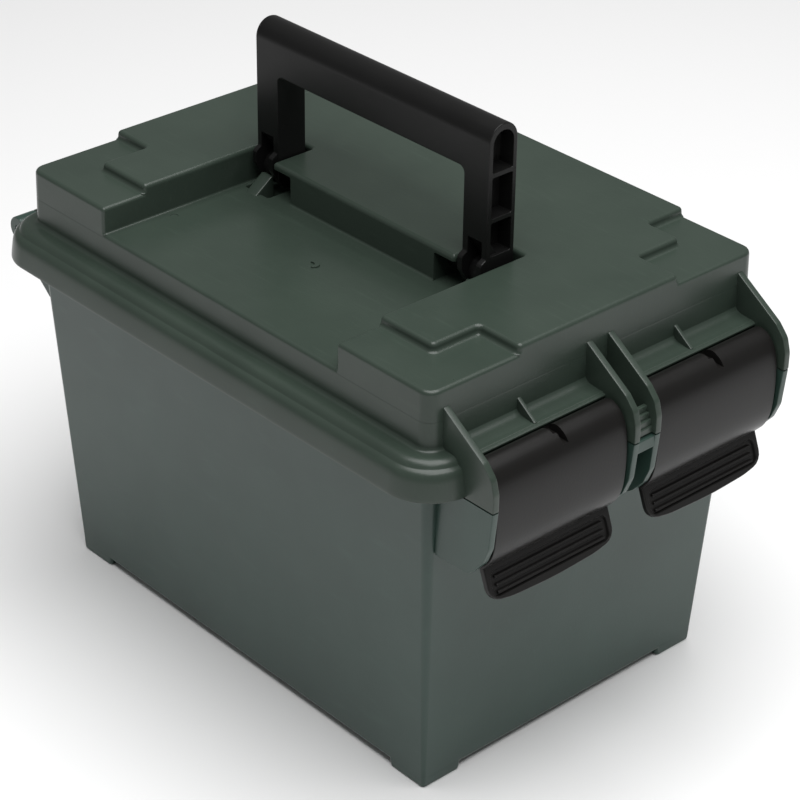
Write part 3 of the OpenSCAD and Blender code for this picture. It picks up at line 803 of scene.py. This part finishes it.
def make_latch(name, middle):
    """One latch: a curved wall, a barrel with stub trunnions, a hook behind it and a ribbed tab."""
    lean = math.pi / 2 - TAB_TILT
    turn = Matrix.Rotation(lean, 3, "X")
    place = Vector((0, -TAB_ROOT[0], TAB_ROOT[1]))

    def tab_part(corners, levels, steps=4):
        return solid([[turn @ Vector((p.x, p.y, along)) + place for p in outline(corners, inset, steps)]
                      for inset, along in levels])

    wall = sharp(list(reversed(smooth(LATCH_OUTER) + smooth(LATCH_INNER))))
    latch = prism(wall, both_ends(0.45, -LATCH_HALF_W, LATCH_HALF_W, 2), ALONG_FRONT)
    barrel = rod((0, -PIN_D, PIN_Z), "x", -LATCH_HALF_W, LATCH_HALF_W, BARREL_R, 0.5)
    trunnions = rod((0, -PIN_D, PIN_Z), "x", -LATCH_HALF_W - 2.4, LATCH_HALF_W + 2.4,
                    LATCH_TRUNNION_R, 0.3)
    hook = [(CATCH[0] + 0.3, CATCH[1] - 3.4, 0.5), (131.6, CATCH[1] - 5, 0.2), (131.6, CATCH[1] + 2, 0.2),
            (CATCH[0] + 0.3, CATCH[1] - 0.3, 0.4)]
    hook = prism(hook, both_ends(0.4, -LATCH_HALF_W + 1, LATCH_HALF_W - 1, 2), ALONG_FRONT, 3)
    tab = tab_part(tab_outline(), both_ends(0.5, -TAB_T, 0))
    sunk = tab_part(rectangle(-TAB_HALF_W + 2, TAB_HALF_W - 2, -TAB_LENGTH + 3.2, -2.2, 2.5),
                    [(0.25, -1.0), (0, -0.2), (-0.2, 0), (-0.2, 1)])
    tab = cut(tab, sunk)
    ribs = [tab_part(rectangle(-TAB_HALF_W + 4, TAB_HALF_W - 4, -y - 0.65, -y + 0.65, 0.5),
                     [(0, -1.2), (0.1, -0.3), (0.3, -0.1)]) for y in (4.6, 7.6, 10.2)]
    latch = join(latch, barrel, trunnions, hook, tab, *ribs)
    # A small notch in the barrel's top: a pocket above the axis and a narrower slot out to the front
    pocket = rectangle(PIN_D - 3.4, PIN_D + 2.6, PIN_Z + 1.6, PIN_Z + 9, 0.6)
    slot = rectangle(PIN_D + 1.4, PIN_D + 12, PIN_Z + 0.6, PIN_Z + 9, 0.6)
    latch = cut(latch, prism(pocket, [(0, 0.2), (0, 4.4)], ALONG_FRONT, 3),
                prism(slot, [(0, 1.7), (0, 4.4)], ALONG_FRONT, 3))
    latch.data.transform(Matrix.Translation((middle * MM, 0, 0)))
    return dress(latch, name + "_shell", name + "_body", "latch_plastic", latch_black, name)


# ---------------------------------------------------------------- handle

def handle_side():
    """The handle's side view in x and z: a half-round top and a round foot with a toe towards -X."""
    half = HANDLE_T / 2
    x, z = PIVOT
    top = [(x + half * math.cos(a), HANDLE_TOP - half + half * math.sin(a))
           for a in [math.pi * i / 16 for i in range(17)]]
    foot = [(x + half * math.cos(a), z + half * math.sin(a))
            for a in [-math.pi * 0.78 + math.pi * 0.78 * i / 12 for i in range(13)]]
    return sharp(top) + [(x - half, 178.2, 0.6), (TOE_X, 176.8, 1.6), (TOE_X, 171.4, 1.6)] + sharp(foot)


def leg_cells():
    """The three open cells in the outer face of a leg, as (low, high) heights."""
    lows = [rib + CELL_RIB_HALF_T for rib in CELL_RIBS]
    highs = [rib - CELL_RIB_HALF_T for rib in CELL_RIBS[1:]] + [HANDLE_TOP - 2.6]
    return list(zip(lows, highs))


def groove_side(grow):
    """Side view of the groove in a foot that passes over the lid's ramp as the handle folds."""
    x, z = PIVOT
    radius = GROOVE_R - grow
    arc = [(x + radius * math.cos(math.radians(a)), z + radius * math.sin(math.radians(a)))
           for a in range(245, 90, -7)]
    notch = [(x + dx + grow, z + dz + grow) for dx, dz in NOTCH_EDGE]
    return sharp([(TOE_X - 1, z - 12)] + arc + notch + [(TOE_X - 1, notch[1][1])])


def foot_groove(side, grow):
    """The groove across one foot, grown on every side to leave a skin between it and a cell."""
    half_w = GROOVE_HALF_W + grow
    return prism(groove_side(grow), [(0, side * RAMP_Y - half_w), (0, side * RAMP_Y + half_w)], ALONG_Y, 4)


def leg_cutters(side):
    """What is cut from one leg: its three open cells, and the groove in its foot."""
    face = side * HANDLE_HALF_L
    x0 = PIVOT[0] - HANDLE_T / 2 + CELL_WALL
    x1 = PIVOT[0] + HANDLE_T / 2 - CELL_WALL
    depths = [(0.5, face - side * CELL_DEPTH), (0.1, face - side * 0.3),
              (-0.1, face), (-0.1, face + side * 2)]
    cells = []
    # The top cell ends in an arch under the grip, and the others are square
    for (low, high), top_r in zip(leg_cells(), (0.7, 0.7, 4.8)):
        corners = [(x0, low, 0.7), (x1, low, 0.7), (x1, high, top_r), (x0, high, top_r)]
        cells.append(prism(corners, depths, ALONG_Y, 6))
    cells[0] = cut(cells[0], foot_groove(side, CELL_SKIN))
    return cells + [foot_groove(side, 0)]


def make_handle():
    x, z = PIVOT
    handle = prism(handle_side(), both_ends(0.5, -HANDLE_HALF_L, HANDLE_HALF_L, 2), ALONG_Y)
    leg_in = HANDLE_HALF_L - LEG_W
    gap = rectangle(-leg_in, leg_in, 140, GRIP_LOW, 2.6)
    half = HANDLE_T / 2
    opening = [(-0.5, x - half - 8), (-0.5, x - half), (-0.15, x - half + 0.15), (0, x - half + 0.5),
               (0, x + half - 0.5), (-0.15, x + half - 0.15), (-0.5, x + half), (-0.5, x + half + 8)]
    handle = cut(handle, prism(gap, opening, ALONG_X, 5), *leg_cutters(-1), *leg_cutters(1))
    bosses = []
    for s in (-1, 1):
        inner = s * (leg_in + 0.5)
        bosses.append(rod((x, 0, z), "y", *sorted((s * (BLOCK_HALF_L + 0.4), inner)), BOSS_R, 0.4))
        bosses.append(rod((x, 0, z), "y", *sorted((s * (BLOCK_HALF_L - 3.4), inner)), TRUNNION_R, 0.3))
    handle = join(handle, *bosses)
    return dress(handle, "handle_shell", "handle_body", "handle_plastic", black, "handle")


# ---------------------------------------------------------------- pins and seal

def make_pin(name):
    low, high = node_box("hinge_pin_" + name)
    centre = (low + high) / 2
    half = (high.x - low.x) / 2
    radius = (high.y - low.y) / 2
    profile = [(-half, radius - 0.6), (-half + 0.5, radius), (half - 0.5, radius), (half, radius - 0.6)]
    pin = lathe(profile, centre, "x", 48)
    return dress(pin, "pin_" + name, "tub_body", "pin_steel", steel, "hinge_pin_" + name)


make_lid()
make_tub()
make_latch("latch_left", -LATCH_MID)
make_latch("latch_right", LATCH_MID)
make_handle()
make_pin("left")
make_pin("right")
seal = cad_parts["seal_ring"]
seal.material_slots[0].material = rubber


# ---------------------------------------------------------------- camera, floor and lights

# Distances here are in metres, and the lens is in millimetres
CAMERA_AZIMUTH = math.radians(-42.09)
CAMERA_ELEVATION = math.radians(30.68)
CAMERA_ROLL = 0.012
CAMERA_DISTANCE = 0.9907
CAMERA_LENS = 117.1
# The point the camera looks at, from the middle of the CAD box
CAMERA_AIM = Vector((-0.0046, -0.0099, -0.0181))
CAMERA_SHIFT = (0.013, -0.001)


def look_along(direction, roll=0.0):
    """The rotation of a camera or lamp that looks along a direction."""
    turn = direction.to_track_quat("-Z", "Y")
    return (turn.to_matrix() @ Matrix.Rotation(roll, 3, "Z")).to_4x4()


def make_camera():
    low, high = cad_box
    aim = (low + high) / 2 + CAMERA_AIM
    level = math.cos(CAMERA_ELEVATION)
    back = Vector((math.sin(CAMERA_AZIMUTH) * level, -math.cos(CAMERA_AZIMUTH) * level,
                   math.sin(CAMERA_ELEVATION)))
    data = bpy.data.cameras.new("camera")
    data.lens = CAMERA_LENS
    data.shift_x, data.shift_y = CAMERA_SHIFT
    camera = bpy.data.objects.new("camera", data)
    camera.matrix_world = Matrix.Translation(aim + back * CAMERA_DISTANCE) @ look_along(-back, CAMERA_ROLL)
    bpy.context.scene.collection.objects.link(camera)
    bpy.context.scene.camera = camera


def make_floor():
    half = 4.0
    mesh = bpy.data.meshes.new("floor")
    corners = [(-half, -half, 0), (half, -half, 0), (half, half, 0), (-half, half, 0)]
    mesh.from_pydata(corners, [], [(0, 1, 2, 3)])
    floor = bpy.data.objects.new("floor", mesh)
    bpy.context.scene.collection.objects.link(floor)
    material = bpy.data.materials.new("pale_floor")
    material.use_nodes = True
    shader = material.node_tree.nodes["Principled BSDF"]
    shader.inputs["Base Color"].default_value = (0.88, 0.88, 0.88, 1)
    shader.inputs["Roughness"].default_value = 0.6
    mesh.materials.append(material)


def make_lamp(name, place, target, size, power):
    data = bpy.data.lights.new(name, "AREA")
    data.shape = "RECTANGLE"
    data.size, data.size_y = size
    data.energy = power
    lamp = bpy.data.objects.new(name, data)
    lamp.matrix_world = Matrix.Translation(Vector(place)) @ look_along(Vector(target) - Vector(place))
    bpy.context.scene.collection.objects.link(lamp)


def make_world(strength):
    world = bpy.data.worlds.new("studio")
    world.use_nodes = True
    world.node_tree.nodes["Background"].inputs["Color"].default_value = (1, 1, 1, 1)
    world.node_tree.nodes["Background"].inputs["Strength"].default_value = strength
    bpy.context.scene.world = world


make_camera()
make_floor()
make_lamp("overhead", place=(0, -0.3, 1.5), target=(0, -0.1, 0), size=(1.6, 1.6), power=36)
make_world(0.2)
bpy.context.scene.view_settings.view_transform = "Standard"
